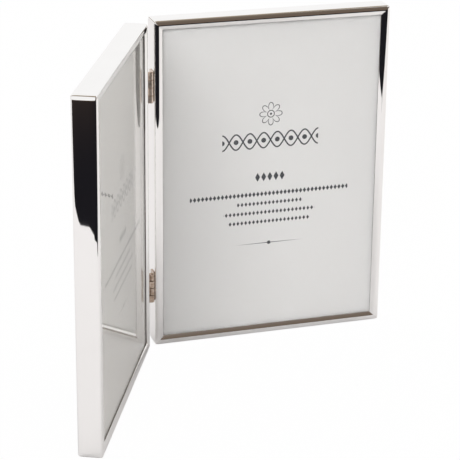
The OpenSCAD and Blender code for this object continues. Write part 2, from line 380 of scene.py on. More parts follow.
world = bpy.data.worlds.new("studio")
world.use_nodes = True
world.node_tree.nodes.clear()
sky_nodes = Nodes(world.node_tree)
way_x, way_y, _ = sky_nodes.split(sky_nodes.add("ShaderNodeTexCoord"))
from_front = sky_nodes.rise(way_x * TOWARDS_EDGE.x + way_y * TOWARDS_EDGE.y, SHADE_START, SHADE_FULL)
dimmed = (1 - from_front * FRONT_SHADE) * SOFT_LIGHT
seen = seen_directly(sky_nodes, 1.0)
sky = sky_nodes.add("ShaderNodeBackground", sockets={
    "Color": sky_nodes.mix(seen, WARM_WHITE, WHITE), "Strength": (1 - seen) * dimmed + seen})
sky_nodes.add("ShaderNodeOutputWorld", sockets={"Surface": sky})
bpy.context.scene.world = world
bpy.context.scene.view_settings.view_transform = "Standard"
print("World: white to the eye, and as light", SOFT_LIGHT, "from behind")

# %% [markdown]
# ## Lamps
#
# The room before the frame is dark, so the soft light comes from above and from behind, and the inside of
# the V is shaded. The main soft box stands to the left, in line with the left leaf. The right card gets
# most of its light, except next to the hinge, where the left leaf shades it. The left card gets little of
# it and looks warmer, so a weaker, warm lamp shines on it from the right. The third, from behind, lights
# the gap between the leaves. All are hidden from reflections, because the photograph's metal shows no
# lamp.

# %% Lamps
KEY_PLACE = Vector((-2.22, -1.25, 1.35))
WARM_PLACE = Vector((1.5, -0.95, 0.5))
BACK_PLACE = Vector((0.2, 1.2, 1.1))
BACK_AIM_SHIFT = Vector((0.05, 0.25, -0.1))


def soft_box(name, place, aim, size, power, colour=(1.0, 1.0, 1.0)):
    """A square lamp that shines from one place at another and isn't seen in the metal."""
    lamp = bpy.data.lights.new(name, "AREA")
    lamp.shape = "SQUARE"
    lamp.size = size
    lamp.energy = power
    lamp.color = colour
    made = placed(name, lamp)
    turn = (aim - place).to_track_quat("-Z", "Y")
    made.matrix_world = Matrix.Translation(place) @ turn.to_matrix().to_4x4()
    made.visible_glossy = False


frame_middle = (cad_low + cad_high) / 2
soft_box("key", KEY_PLACE, frame_middle, size=1.76, power=41.5)
soft_box("warm", WARM_PLACE, frame_middle, size=0.8, power=7.2, colour=(1.0, 0.93, 0.8))
soft_box("back", BACK_PLACE, frame_middle + BACK_AIM_SHIFT, size=0.9, power=3.4)
print("Lamps: key, warm and back")

# %% [markdown]
# ## The leaf's own axes
#
# Both leaves are one design, seen in a mirror. Everything is therefore drawn once, in a leaf's own axes: X
# runs across from the hinge side, Y runs back from the front, Z runs up. The hinge joint gives the place
# of the pins and a turn button's axis gives the leaf's turn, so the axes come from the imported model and
# not from a guess.

# %% Leaf axes and sizes
joints = {joint["name"]: joint for joint in frame["joints"]}
pins_at = Vector(joints["fold"]["pos_m"])
back_axis = Vector(joints["turn_top_right"]["axis"])
leaf_turn = math.atan2(back_axis.x, back_axis.y)
pin_axes = Matrix.Translation(pins_at) @ Matrix.Rotation(-leaf_turn, 4, "Z")


def box_in(axes, *nodes):
    """Lowest and highest corner of CAD nodes, measured along other axes."""
    back = axes.inverted()
    points = [back @ v.co for node in nodes for v in frame["nodes"][node].data.vertices]
    return tuple(Vector(pick(p[i] for p in points) for i in range(3)) for pick in (min, max))


leaf_origin = box_in(pin_axes, "rail_inner_right", "rail_bottom_right")[0]
LEAF = {"right": pin_axes @ Matrix.Translation(leaf_origin)}
LEAF["left"] = Matrix.Scale(-1, 4, (1, 0, 0)) @ LEAF["right"]
SIDES = ("right", "left")


def leaf_box(node):
    """Lowest and highest corner of a right leaf's CAD node, in the leaf's axes."""
    return box_in(LEAF["right"], node)


leaf_w, leaf_d, leaf_h = box_in(LEAF["right"], "rail_outer_right", "rail_top_right")[1]
border_w = leaf_w - leaf_box("rail_outer_right")[0].x
glass_low, glass_high = leaf_box("glass_right")
print("Leaf in mm:", [round(x / MM, 2) for x in (leaf_w, leaf_h, leaf_d, border_w)])

# %% [markdown]
# ## Meshes from a leaf's axes
#
# `leaf_mesh` takes points, faces and, where the finish needs them, a normal and named UVs for each corner
# of each face. It carries them into the leaf's place. A mirror turns faces inside out, so the order of
# their corners is reversed where the matrix mirrors.

# %% Mesh helpers
def leaf_mesh(name, matrix, points, faces, normals=(), maps=None):
    """A mesh object made from points and faces in a leaf's axes."""
    order = -1 if matrix.to_3x3().determinant() < 0 else 1
    mesh = bpy.data.meshes.new(name)
    mesh.from_pydata([matrix @ Vector(p) for p in points], [], [face[::order] for face in faces])
    for map_name, uvs in (maps or {}).items():
        layer = mesh.uv_layers.new(name=map_name)
        for corner, uv in zip(layer.data, (uv for face in uvs for uv in face[::order])):
            corner.uv = uv
    if normals:
        mesh.shade_smooth()
        turned = matrix.to_3x3()
        mesh.normals_split_custom_set([turned @ Vector(n) for face in normals for n in face[::order]])
    return placed(name, mesh)


def made_plain(made):
    """Applies an object's modifiers to its mesh."""
    scene_now = bpy.context.evaluated_depsgraph_get()
    made.data = bpy.data.meshes.new_from_object(
        made.evaluated_get(scene_now), preserve_all_data_layers=True, depsgraph=scene_now)
    made.modifiers.clear()


def take_in(made, other):
    """Moves another object's mesh into this one, and does away with the other."""
    joined = bmesh.new()
    joined.from_mesh(made.data)
    joined.from_mesh(other.data)
    joined.to_mesh(made.data)
    joined.free()
    bpy.data.objects.remove(other)


print("Mesh helpers ready")

# %% Edges and outlines
BEVEL_FROM_ANGLE = math.radians(30)
CORNER_STEPS = 6


def rounded_edges(made, radius, steps):
    """Rounds every sharp edge, and keeps the flats flat in the shading."""
    made.data.shade_smooth()
    bevel = made.modifiers.new("edges", "BEVEL")
    bevel.width = radius
    bevel.segments = steps
    bevel.limit_method = "ANGLE"
    bevel.angle_limit = BEVEL_FROM_ANGLE
    bevel.harden_normals = True
    made_plain(made)


def prism(name, matrix, outline, low, high):
    """A closed block: an outline in X and Z of the leaf, from one depth to another."""
    count = len(outline)
    points = [(x, depth, z) for depth in (low, high) for x, z in outline]
    walls = [[i, i + count, (i + 1) % count + count, (i + 1) % count] for i in range(count)]
    ends = [list(range(count)), list(reversed(range(count, 2 * count)))]
    return leaf_mesh(name, matrix, points, walls + ends)


def sine(degrees):
    return math.sin(math.radians(degrees))


def cosine(degrees):
    return math.cos(math.radians(degrees))


def spread(start, stop, steps):
    """Even values from one to another, with both ends."""
    return [start + (stop - start) * i / steps for i in range(steps + 1)]


def arc(middle, radius, start, stop, steps):
    """Points round a middle from one angle to another, in degrees."""
    turns = spread(start, stop, steps)
    return [(middle[0] + radius * cosine(turn), middle[1] + radius * sine(turn)) for turn in turns]


def rectangle(low, high, radius=0.0):
    """Outline of an upright rectangle between two corners of a box, rounded if it has a radius."""
    corners = [(low.x, low.z, 180), (high.x, low.z, 270), (high.x, high.z, 0), (low.x, high.z, 90)]
    if not radius:
        return [(x, z) for x, z, _ in corners]
    points = []
    for x, z, start in corners:
        middle_x = x + math.copysign(radius, (low.x + high.x) / 2 - x)
        middle_z = z + math.copysign(radius, (low.z + high.z) / 2 - z)
        points += arc((middle_x, middle_z), radius, start, start + 90, CORNER_STEPS)
    return points


print("Steps round an outline's corner:", CORNER_STEPS)

# %% Dressing a piece
def dressed(made, body, slot, finish, *nodes):
    """Gives a piece its finish, seats it on its body and lets it stand for CAD nodes."""
    if not made.data.materials:
        made.data.materials.append(None)
    made.data.materials[0] = finish
    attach(made, body)
    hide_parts(*nodes)


print("Bodies:", len(SIDES), "leaves and", len(joints) - 1, "buttons")

# %% [markdown]
# ## Polished silver plate
#
# The rails are rolled from sheet, mitred, soldered and polished to a mirror. What tells it from a perfect
# mirror is small: fine draw lines that run along the rail, slow ripples that bend the edge of a
# reflection, and a few wiped marks that blur it. The polishing wheel doesn't reach the cut edge of the lip
# above the glass, which has gone dark brown. That dark band is painted wider than the edge itself, as
# painted shade for the shadow gap between the lip and the glass. The solder in the mitres shows as a tan
# hairline.
#
# So the finish has to know the rail's own directions. The UV map `sheet` holds metres along the rail and
# round its section. The UV map `edges` holds metres from the mitre, and metres past the lip's edge.

# %% Silver finish
DRAW_LINE_HEIGHT = 0.0016 * MM
RIPPLE_HEIGHT = 0.008 * MM
# Where the lip goes dark: its unpolished cut edge, widened as painted shade for the gap under the lip
TARNISH_AND_SHADE_START = -0.3 * MM
TARNISH_AND_SHADE_FULL = -0.18 * MM
FRONT_FACE_END = -4.5 * MM
OUTER_WALL_START = -6.0 * MM
SEAM_REACH = 0.3 * MM
SEAM_CORE = 0.1 * MM
DRAW_LINE_SCALES = (9.0, 420.0, 1.0)
RIPPLE_SCALES = (38.0, 70.0, 1.0)


@material
def polished_silver(nodes):
    sheet = nodes.uv("sheet")
    from_mitre, past_lip, _ = nodes.split(nodes.uv("edges"))
    draw_lines = nodes.streaks(sheet, DRAW_LINE_SCALES, detail=1.0)
    ripples = nodes.streaks(sheet, RIPPLE_SCALES, detail=1.0)
    smears = nodes.noise(nodes.object_place(), scale=55.0, detail=4.0)
    # Dark brown at the lip's edge: real tarnish on the cut edge, and painted shade for the shadow gap to the
    # glass
    tarnish_and_shade = nodes.rise(past_lip, TARNISH_AND_SHADE_START, TARNISH_AND_SHADE_FULL)
    outer_wall = nodes.rise(past_lip, FRONT_FACE_END, OUTER_WALL_START)
    seam = nodes.rise(abs(from_mitre), SEAM_REACH, SEAM_CORE) * (outer_wall * 0.7 + 0.2)
    silver = nodes.mix(smears, rgb(0.885, 0.872, 0.862), rgb(0.925, 0.915, 0.905))
    polished = nodes.principled({
        "Base Color": nodes.mix(seam, silver, rgb(0.24, 0.165, 0.105)),
        "Metallic": 1.0,
        "Roughness": smears ** 3 * 0.09 + seam * 0.2 + 0.012,
        "Normal": nodes.bump(draw_lines * DRAW_LINE_HEIGHT + ripples * RIPPLE_HEIGHT),
    })
    tarnished_and_shaded = nodes.principled({
        "Base Color": nodes.mix(smears, rgb(0.05, 0.03, 0.015), rgb(0.09, 0.06, 0.035)),
        "Roughness": 0.8,
        "Specular IOR Level": 0.2,
    })
    return nodes.blend(tarnish_and_shade, polished, tarnished_and_shaded)


print("Finish:", polished_silver.name)

# %% [markdown]
# ## The rails
#
# A mirror shows every fault of a mesh, so the rails aren't bevelled or subdivided: their section is a
# chain of arcs that meet without a kink, and each corner of each face gets its exact normal. `chain` walks
# along such a section. Each arc is given by its radius and by the way that the surface looks where the arc
# ends: 180 is straight back, 90 is out to the side, 0 is to the front, and less than 0 is down into the
# opening.
#
# The photograph shows how softly the side wall rolls into its two edges: the dark reflection on it pulls
# away from the back edge in a curve and runs out in a point and a thin tail at the front edge. So both
# edges have an easing of wide arcs before their small radius, with a faint crease at the front. The lip is
# slightly rounded too, because the reflection on it goes from dark to pale.
#
# At the leaf's corners the same section is carried round a bend up to the mitre, so the two rails meet on
# one smooth corner. Polishing has worn the outer wall there: a long easing leads into the small corner
# radius, and that is what shows as a bright band above the dark reflection. The mitre line of the crown
# stays almost sharp.

# %% Chain of arcs
SHEET_T = 0.8 * MM
HEM_W = 2.5 * MM
CREST_IN = border_w - 2.2 * MM
UNDER_SHIFT = 0.1 * MM
UNDER_SLOPE = math.radians(29)
HEM_RUN = 2 * MM
HEM_CHAMFER = 0.5 * SHEET_T
CROWN_R = 5.5 * MM
EDGE_R = 1 * MM
SIGHT_R = 0.12 * MM
LIP_END = -33
# Each arc is a radius and the way that the surface looks at the arc's end, in degrees
FRONT_EASING = [(60 * MM, 88), (8 * MM, 86.5), (65 * MM, 85.5)]
BACK_EASING = [(75 * MM, 90.7), (30 * MM, 93.8), (8 * MM, 96), (2 * MM, 103), (1.1 * MM, 180)]
CREST_ARC = (0.35 * MM, -25)
ARC_STEPS = 8
SAME_POINT = 0.001 * MM


def chain(across, depth, look, arcs):
    """Points (across, depth, normal) along arcs that follow each other, with the place where they end."""
    points = []
    for radius, end in arcs:
        middle = (across + radius * sine(look), depth + radius * cosine(look))
        for i in range(ARC_STEPS + 1):
            turn = look + (end - look) * i / ARC_STEPS
            points.append((middle[0] - radius * sine(turn), middle[1] - radius * cosine(turn),
                           (-sine(turn), -cosine(turn))))
        across, depth, look = points[-1][0], points[-1][1], end
    return points, across, depth


print("Arcs in the front easing:", len(FRONT_EASING), "and in the back one:", len(BACK_EASING))

# %% Rail section
def rail_outside():
    """The polished line of the section, from the end of the hem to the glass."""
    back, _, back_end = chain(0, 0, 90, BACK_EASING)
    wall_end = leaf_d - back_end
    line = [(HEM_W, leaf_d, (0, 1))] + [(x, d + wall_end, normal) for x, d, normal in reversed(back)]
    _, eased_in, _ = chain(0, 0, 90, FRONT_EASING)
    crown_run = CREST_IN - eased_in - EDGE_R * sine(FRONT_EASING[-1][1])
    crown_start = math.degrees(math.asin(crown_run / (CROWN_R - EDGE_R)))
    to_crest = FRONT_EASING + [(EDGE_R, crown_start), (CROWN_R, 0)]
    _, _, crest_d = chain(0, 0, 90, to_crest)
    lip_run = border_w - SIGHT_R * (1 + sine(LIP_END)) - CREST_IN + CREST_ARC[0] * sine(CREST_ARC[1])
    lip_r = lip_run / (sine(CREST_ARC[1]) - sine(LIP_END))
    front, _, _ = chain(0, -crest_d, 90, to_crest + [CREST_ARC, (lip_r, LIP_END), (SIGHT_R, -90)])
    return line + front + [(border_w, glass_low.y, (1, 0))]


def rail_inside():
    """The hidden line of the section, from the glass back to the hem, without normals."""
    under_r = CROWN_R - SHEET_T
    under_x = CREST_IN - UNDER_SHIFT
    run = glass_low.y - SHEET_T
    hem_d = leaf_d - SHEET_T
    last = math.degrees(math.asin((CREST_IN - SHEET_T) / under_r))
    line = [(under_x + run / math.tan(UNDER_SLOPE), glass_low.y)]
    for i in range(ARC_STEPS + 1):
        turn = last * i / ARC_STEPS
        line.append((under_x - under_r * sine(turn), CROWN_R - under_r * cosine(turn)))
    return line + [(SHEET_T, hem_d - HEM_RUN), (SHEET_T + HEM_CHAMFER, hem_d), (HEM_W, hem_d)]


def section():
    """The whole section: its points, and for each side its two ends with a normal for each."""
    points, sides = [], []
    for x, d, normal in rail_outside():
        if points and math.dist(points[-1], (x, d)) < SAME_POINT:
            continue
        points.append((x, d))
        if len(points) > 1:
            sides.append((len(points) - 2, len(points) - 1, last_normal, normal))
        last_normal = normal
    for x, d in rail_inside():
        points.append((x, d))
    for i in range(len(sides), len(points)):
        j = (i + 1) % len(points)
        run = Vector(points[j]) - Vector(points[i])
        flat = (run.y / run.length, -run.x / run.length)
        sides.append((i, j, flat, flat))
    return points, sides


SECTION_POINTS, SECTION_SIDES = section()
LIP_POINT = [x for x, _ in SECTION_POINTS].index(border_w)
print("Rail section:", len(SECTION_POINTS), "points")

# %% Rails
CORNER_R = 1.3 * MM
EASING_R = 7.5 * MM
EASING_ANGLE = math.radians(13)
MITRE_R = 0.3 * MM
MITRE_ANGLE = math.radians(45)
BEND_STEPS = 8
DIAGONAL = math.sqrt(0.5)


BENDS = spread(MITRE_ANGLE, EASING_ANGLE, BEND_STEPS) + spread(EASING_ANGLE, 0, BEND_STEPS)[1:]


def bent(across, bend):
    """Where the bend of a leaf's corner carries a point: its distances from both outer faces."""
    share = min(across / CORNER_R, 1)
    tight, easy = (radius + (MITRE_R - radius) * share for radius in (CORNER_R, EASING_R))
    eased, turned = min(bend, EASING_ANGLE), max(bend, EASING_ANGLE)

    def inset(turn):
        return easy * (1 - math.cos(min(turn, EASING_ANGLE))) + tight * (
            math.cos(EASING_ANGLE) - math.cos(max(turn, EASING_ANGLE)))

    along = tight * (math.sin(MITRE_ANGLE) - math.sin(turned))
    along += easy * (math.sin(EASING_ANGLE) - math.sin(eased))
    return across + inset(bend), across + inset(MITRE_ANGLE) + along


def rail_parts(length):
    """Points, faces, normals and UV maps of a rail along Z, with its outer face at X = 0."""
    rings = [(bend, False) for bend in BENDS] + [(bend, True) for bend in reversed(BENDS)]
    count = len(SECTION_POINTS)
    points = []
    for bend, far in rings:
        for across, depth in SECTION_POINTS:
            x, z = bent(across, bend)
            points.append((x, depth, length - z if far else z))

    def from_mitre(point):
        return min(point[2], length - point[2]) - point[0]

    def normal(side_normal, ring):
        bend, far = rings[ring]
        in_x, in_z = side_normal[0] * math.cos(bend), side_normal[0] * math.sin(bend)
        return (in_x, side_normal[1], -in_z if far else in_z)

    round_section = [0.0]
    for i, j, _, _ in SECTION_SIDES:
        round_section.append(round_section[-1] + math.dist(SECTION_POINTS[i], SECTION_POINTS[j]))
    faces, normals, sheet, edges = [], [], [], []
    for ring in range(len(rings) - 1):
        for number, (i, j, normal_i, normal_j) in enumerate(SECTION_SIDES):
            corners = [(ring, i), (ring, j), (ring + 1, j), (ring + 1, i)]
            faces.append([r * count + k for r, k in corners])
            normals.append([normal(normal_i if k == i else normal_j, r) for r, k in corners])
            turn = [round_section[number + (k == j)] for _, k in corners]
            sheet.append([(points[r * count + k][2], way) for (r, k), way in zip(corners, turn)])
            edges.append([(from_mitre(points[r * count + k]), way - round_section[LIP_POINT])
                          for (r, k), way in zip(corners, turn)])
    last = (len(rings) - 1) * count
    for start, way_z, order in ((0, -DIAGONAL, -1), (last, DIAGONAL, 1)):
        corners = list(range(start, start + count))[::order]
        faces.append(corners)
        normals.append([(DIAGONAL, 0, way_z)] * count)
        sheet.append([(points[k][0], points[k][1]) for k in corners])
        edges.append([(0, 0)] * count)
    return points, faces, normals, {"sheet": sheet, "edges": edges}


def lying(outer_face, inwards):
    """Axes of a rail that lies along X, from the height of its outer face and the way in, 1 or -1."""
    return Matrix(((0, 0, 1, 0), (0, 1, 0, 0), (inwards, 0, 0, outer_face), (0, 0, 0, 1)))


RAILS = {
    "inner": (Matrix.Identity(4), leaf_h),
    "outer": (Matrix.Translation((leaf_w, 0, 0)) @ Matrix.Scale(-1, 4, (1, 0, 0)), leaf_h),
    "bottom": (lying(0, 1), leaf_w),
    "top": (lying(leaf_h, -1), leaf_w),
}

for side in SIDES:
    for place, (matrix, length) in RAILS.items():
        rail = leaf_mesh(f"silver_rail_{place}_{side}", LEAF[side] @ matrix, *rail_parts(length))
        dressed(rail, f"{side}_leaf", "silver_plate", polished_silver, f"rail_{place}_{side}")
print("Rails: 8, faces in each:", len(rail.data.polygons))

# %% [markdown]
# ## Picture glass
#
# The pane is clear float glass with its arris ground off. It is coated against glare: seen straight on it
# mirrors almost nothing, not even the edge of the table, while at a glance it is a strong mirror. A path
# tracer lights what lies behind glass poorly, because a lamp's ray has to find its way through. A Mix
# Shader lets those shadow rays pass straight through, and everything else sees real glass.

# %% Glass panes
GLASS_CLEARANCE = 0.03 * MM
GLASS_ARRIS = 0.2 * MM


@material
def picture_glass(nodes):
    glass = nodes.principled({
        "Base Color": rgb(0.985, 0.985, 0.98),
        "Roughness": 0.0,
        "IOR": 1.5,
        "Specular Tint": rgb(0.15, 0.15, 0.15),
        "Transmission Weight": 1.0,
    })
    clear = nodes.add("ShaderNodeBsdfTransparent", sockets={"Color": rgb(0.92, 0.925, 0.92)})
    return nodes.blend(nodes.light_path("Is Shadow Ray")[0], glass, clear)


for side in SIDES:
    pane = prism(f"glass_pane_{side}", LEAF[side], rectangle(glass_low, glass_high),
                 glass_low.y + GLASS_CLEARANCE, glass_high.y - GLASS_CLEARANCE)
    rounded_edges(pane, GLASS_ARRIS, steps=1)
    dressed(pane, f"{side}_leaf", "picture_glass", picture_glass, f"glass_{side}")
print("Glass in mm:", [round(x / MM, 2) for x in glass_high - glass_low])

# %% [markdown]
# ## The placeholder card
#
# A new frame comes with a printed card behind the glass. Its ornament here is a common one: a rosette, a
# braid of two strands, rows of small lozenges, and a tapering rule with a dot at its middle. Print has no
# thickness, so it belongs in the material. Each shape is a rule on X and Y, which the card's UV map gives
# in millimetres from the card's middle.

# %% Print of the card
PAPER_GRAIN = 0.004 * MM
BEAD_SHARE = 0.32
HEART_SHARE = 0.38
RING_SHARE = 0.3
DOT_SHARE = 0.1
# Height, half width, pitch, size and slimness of each row of lozenges, in mm
LOZENGE_ROWS = (
    (0, 9, 3.6, 2.6, 1.8), (-10, 46.5, 2.3, 1.5, 1.5), (-15.5, 19, 2.3, 1.3, 1.5),
    (-21, 27, 2.3, 1.3, 1.5), (-26.5, 24, 2.3, 1.3, 1.5),
)


@material
def placeholder_print(nodes):
    flat = nodes.uv("print")
    x, y, _ = nodes.split(flat)

    def row(height, half_width, pitch, size, slim):
        """A centred row of lozenges. A slim lozenge is taller than it is wide."""
        step_x = (x + pitch / 2) % pitch - pitch / 2
        reach = abs(step_x) * slim + abs(y - height)
        return (reach < size) * (abs(x) < half_width)

    def braid(height, half_width, reach, pitch, line):
        """Two waves that cross, with a bead in each eye."""
        up_y = y - height
        turn = x * (math.pi / pitch)
        wave = turn.maths("SINE", turn) * reach
        slope = turn.maths("COSINE", turn) * (reach * math.pi / pitch)
        wide = (slope * slope + 1) ** 0.5 * line
        strands = (abs(up_y - wave) < wide).larger(abs(up_y + wave) < wide)
        eye_x = x % pitch - pitch / 2
        bead = (eye_x * eye_x + up_y * up_y) ** 0.5 < reach * BEAD_SHARE
        return strands.larger(bead) * (abs(x) < half_width)

    def rosette(height, radius, petals, line):
        """Petals drawn as one line, with a ring and a dot inside them."""
        up_y = y - height
        reach = (x * x + up_y * up_y) ** 0.5
        turn = up_y.maths("ARCTAN2", up_y, x)
        wave = abs(turn.maths("COSINE", turn * (petals / 2)))
        petal = wave ** 0.6 * (radius * (1 - HEART_SHARE)) + radius * HEART_SHARE
        outline = abs(reach - petal) < line * (1.6 - wave)
        ring = abs(reach - radius * RING_SHARE) < line * 0.6
        return outline.larger(ring).larger(reach < radius * DOT_SHARE)

    def rule(height, half_width, half_line, dot_r):
        """A line that tapers towards both ends, with a dot at its middle."""
        up_y = abs(y - height)
        taper = (1 - abs(x) / half_width) * half_line
        return (up_y < taper).larger((x * x + up_y * up_y) ** 0.5 < dot_r)

    ink = rosette(height=36.5, radius=6.5, petals=8, line=0.4)
    marks = [
        braid(height=21.5, half_width=28, reach=4.4, pitch=8, line=0.42),
        rule(height=-39.5, half_width=21, half_line=0.22, dot_r=1.05),
    ]
    for mark in marks + [row(*sizes) for sizes in LOZENGE_ROWS]:
        ink = ink.larger(mark)
    fibres = nodes.noise(flat, scale=3.2, detail=5.0)
    clouds = nodes.noise(flat, scale=0.09, detail=2.0)
    paper = nodes.mix(fibres * 0.6 + clouds * 0.4, rgb(0.735, 0.727, 0.73), rgb(0.78, 0.772, 0.775))
    return nodes.principled({
        "Base Color": nodes.mix(ink, paper, rgb(0.048, 0.05, 0.058)),
        "Roughness": fibres * 0.15 + 0.42,
        "Normal": nodes.bump(fibres * PAPER_GRAIN),
    })


print("Rows of lozenges:", len(LOZENGE_ROWS))

# %% Printed cards
CARD_CLEARANCE = 0.05 * MM


def print_uvs(made, side):
    """Millimetres from the middle of the card, read from the front."""
    back = LEAF[side].inverted()
    layer = made.data.uv_layers.new(name="print")
    for loop, corner in zip(made.data.loops, layer.data):
        place = back @ made.data.vertices[loop.vertex_index].co
        across = (place.x - leaf_w / 2) / MM
        corner.uv = (across if side == "right" else -across, (place.z - leaf_h / 2) / MM)


card_low, card_high = leaf_box("print_card_right")
for side in SIDES:
    card = prism(f"printed_card_{side}", LEAF[side], rectangle(card_low, card_high),
                 card_low.y + CARD_CLEARANCE, card_high.y)
    print_uvs(card, side)
    dressed(card, f"{side}_leaf", "placeholder_print", placeholder_print, f"print_card_{side}")
print("Card in mm:", [round(x / MM, 2) for x in card_high - card_low])

# %% [markdown]
# ## Board behind the picture
#
# Behind the card lie a grey filler card and a board of pressed fibre. Nothing of them shows in the closed
# frame, and their plain shape is right as it is, so the CAD parts stay and only get their finish.

# %% Filler card and board
BOARD_GRAIN = 0.03 * MM
FIBRE_GRAIN = 0.05 * MM
FIBRE_SCALES = (400.0, 400.0, 1600.0)


@material
def grey_board(nodes):
    place = nodes.object_place()
    layers = nodes.noise(place, scale=360.0, detail=5.0)
    specks = nodes.noise(place, scale=2400.0, detail=2.0)
    return nodes.principled({
        "Base Color": nodes.mix(layers, rgb(0.2, 0.175, 0.14), rgb(0.3, 0.27, 0.225)),
        "Roughness": specks * 0.15 + 0.8,
        "Normal": nodes.bump(specks * BOARD_GRAIN),
    })


@material
def pressed_fibre(nodes):
    fibres = nodes.streaks(nodes.object_place(), FIBRE_SCALES, detail=6.0)
    return nodes.principled({
        "Base Color": nodes.mix(fibres, rgb(0.05, 0.028, 0.015), rgb(0.12, 0.07, 0.04)),
        "Roughness": fibres * 0.2 + 0.6,
        "Normal": nodes.bump(fibres * FIBRE_GRAIN),
    })


for side in SIDES:
    for node, finish in ((f"filler_card_{side}", grey_board), (f"back_board_{side}", pressed_fibre)):
        part = frame["nodes"][node]
        for slot in part.material_slots:
            slot.material = finish
        print(node, "slots:", len(part.material_slots))

# %% [markdown]
# ## Flocked cover
#
# The back is covered with black flocked paper, folded round the edges of the board. Its edges are soft and
# its surface is short velvet: very dark straight on, and paler where it is seen at a glance. Sheen gives
# that, and a fine noise gives the nap.

# %% Back cover
COVER_T = 0.3 * MM
COVER_CORNER_R = 1.2 * MM
COVER_EDGE_R = 0.7 * MM
NAP_HEIGHT = 0.12 * MM
BRUSHED_HEIGHT = 0.15 * MM


@material
def black_flock(nodes):
    place = nodes.object_place()
    nap = nodes.noise(place, scale=2600.0, detail=3.0)
    brushed = nodes.noise(place, scale=34.0, detail=3.0)
    pile = nap * 0.6 + brushed * 0.4
    return nodes.principled({
        "Base Color": nodes.mix(pile, rgb(0.009, 0.009, 0.01), rgb(0.034, 0.033, 0.035)),
        "Roughness": nap * 0.1 + 0.86,
        "Sheen Weight": 0.45,
        "Sheen Roughness": 0.4,
        "Normal": nodes.bump(nap * NAP_HEIGHT + brushed * BRUSHED_HEIGHT),
    })


cover_low, cover_high = leaf_box("back_cover_right")
for side in SIDES:
    outline = rectangle(cover_low, cover_high, COVER_CORNER_R)
    cover = prism(f"flocked_cover_{side}", LEAF[side], outline, cover_low.y, cover_high.y)
    tray = bmesh.new()
    tray.from_mesh(cover.data)
    to_leaf = LEAF[side].inverted()
    front = min(tray.faces, key=lambda face: (to_leaf @ face.calc_center_median()).y)
    bmesh.ops.delete(tray, geom=[front], context="FACES_ONLY")
    tray.to_mesh(cover.data)
    tray.free()
    rounded_edges(cover, COVER_EDGE_R, steps=4)
    wall = cover.modifiers.new("wall", "SOLIDIFY")
    wall.thickness = COVER_T
    wall.offset = -1
    made_plain(cover)
    dressed(cover, f"{side}_leaf", "flocked_paper", black_flock, f"back_cover_{side}")
print("Cover faces:", len(cover.data.polygons))

# %% [markdown]
# ## Turn buttons
#
# Four stamped buttons lock each board: one end slips under the rail's hem, and a small lug at the other
# end takes the finger. Each turns on its own joint, so each is a piece of its own. The shape is drawn
# once, flat on the bench with its tip along X, and then carried to the rivet and turned towards its rail.

# %% Button steel
STEEL_GRAIN = 0.003 * MM
STEEL_GRAIN_SCALES = (2200.0, 2200.0, 260.0)


@material
def nickelled_steel(nodes):
    place = nodes.object_place()
    grain = nodes.streaks(place, STEEL_GRAIN_SCALES, detail=3.0)
    dull = nodes.noise(place, scale=240.0, detail=3.0)
    return nodes.principled({
        "Base Color": nodes.mix(dull, rgb(0.52, 0.5, 0.47), rgb(0.66, 0.64, 0.61)),
        "Metallic": 1.0,
        "Roughness": grain * 0.12 + dull * 0.12 + 0.16,
        "Normal": nodes.bump(grain * STEEL_GRAIN),
    })


print("Finish:", nickelled_steel.name)

# %% Turn buttons
BUTTON_SIDES = 48
BUTTON_T = 0.8 * MM
LUG_T = 0.8 * MM
BUTTON_EDGE_R = 0.15 * MM
BUTTON_HOLE_R = 1.06 * MM
TURNS = {"top": 90, "bottom": -90, "inner": 180, "outer": 0}


def button_axes(place):
    """Axes of a turn button: X to its tip, Y along its width and Z out of the back, from its joint."""
    at = LEAF["right"].inverted() @ Vector(joints[f"turn_{place}_right"]["pos_m"])
    tip_x, tip_z = cosine(TURNS[place]), sine(TURNS[place])
    return Matrix(((tip_x, tip_z, 0, at.x), (0, 0, 1, at.y), (tip_z, -tip_x, 0, at.z), (0, 0, 0, 1)))


def stadium(length, width, count):
    """Points of a bar with round ends, evenly round, starting at its tip."""
    points = []
    for i in range(count):
        turn = 2 * math.pi * (i + 0.5) / count
        middle = math.copysign((length - width) / 2, math.cos(turn))
        points.append((middle + width / 2 * math.cos(turn), width / 2 * math.sin(turn)))
    return points


def button_parts(length, width, thickness, lug_top):
    """Points and faces of a stamped button with its rivet hole, and of the lug that stands on it."""
    outline = stadium(length, width, BUTTON_SIDES)
    half_step = 180 / BUTTON_SIDES
    hole = arc((0, 0), BUTTON_HOLE_R, half_step, 360 - half_step, BUTTON_SIDES - 1)
    points = [(x, y, z) for z in (0, thickness) for ring in (outline, hole) for x, y in ring]
    under, under_hole, over, over_hole = (BUTTON_SIDES * k for k in range(4))
    faces = []
    for i in range(BUTTON_SIDES):
        j = (i + 1) % BUTTON_SIDES
        faces += [
            [over + i, over + j, over_hole + j, over_hole + i],
            [under + j, under + i, under_hole + i, under_hole + j],
            [under + i, under + j, over + j, over + i],
            [under_hole + j, under_hole + i, over_hole + i, over_hole + j],
        ]
    lug_x = -length / 2 + LUG_T
    first = len(points)
    points += [(x, y, z) for z in (thickness / 2, lug_top) for x, y in (
        (lug_x, -width / 4), (lug_x + LUG_T, -width / 4), (lug_x + LUG_T, width / 4), (lug_x, width / 4))]
    faces += [[first + k for k in face] for face in (
        (3, 2, 1, 0), (4, 5, 6, 7), (0, 1, 5, 4), (1, 2, 6, 5), (2, 3, 7, 6), (3, 0, 4, 7))]
    return points, faces


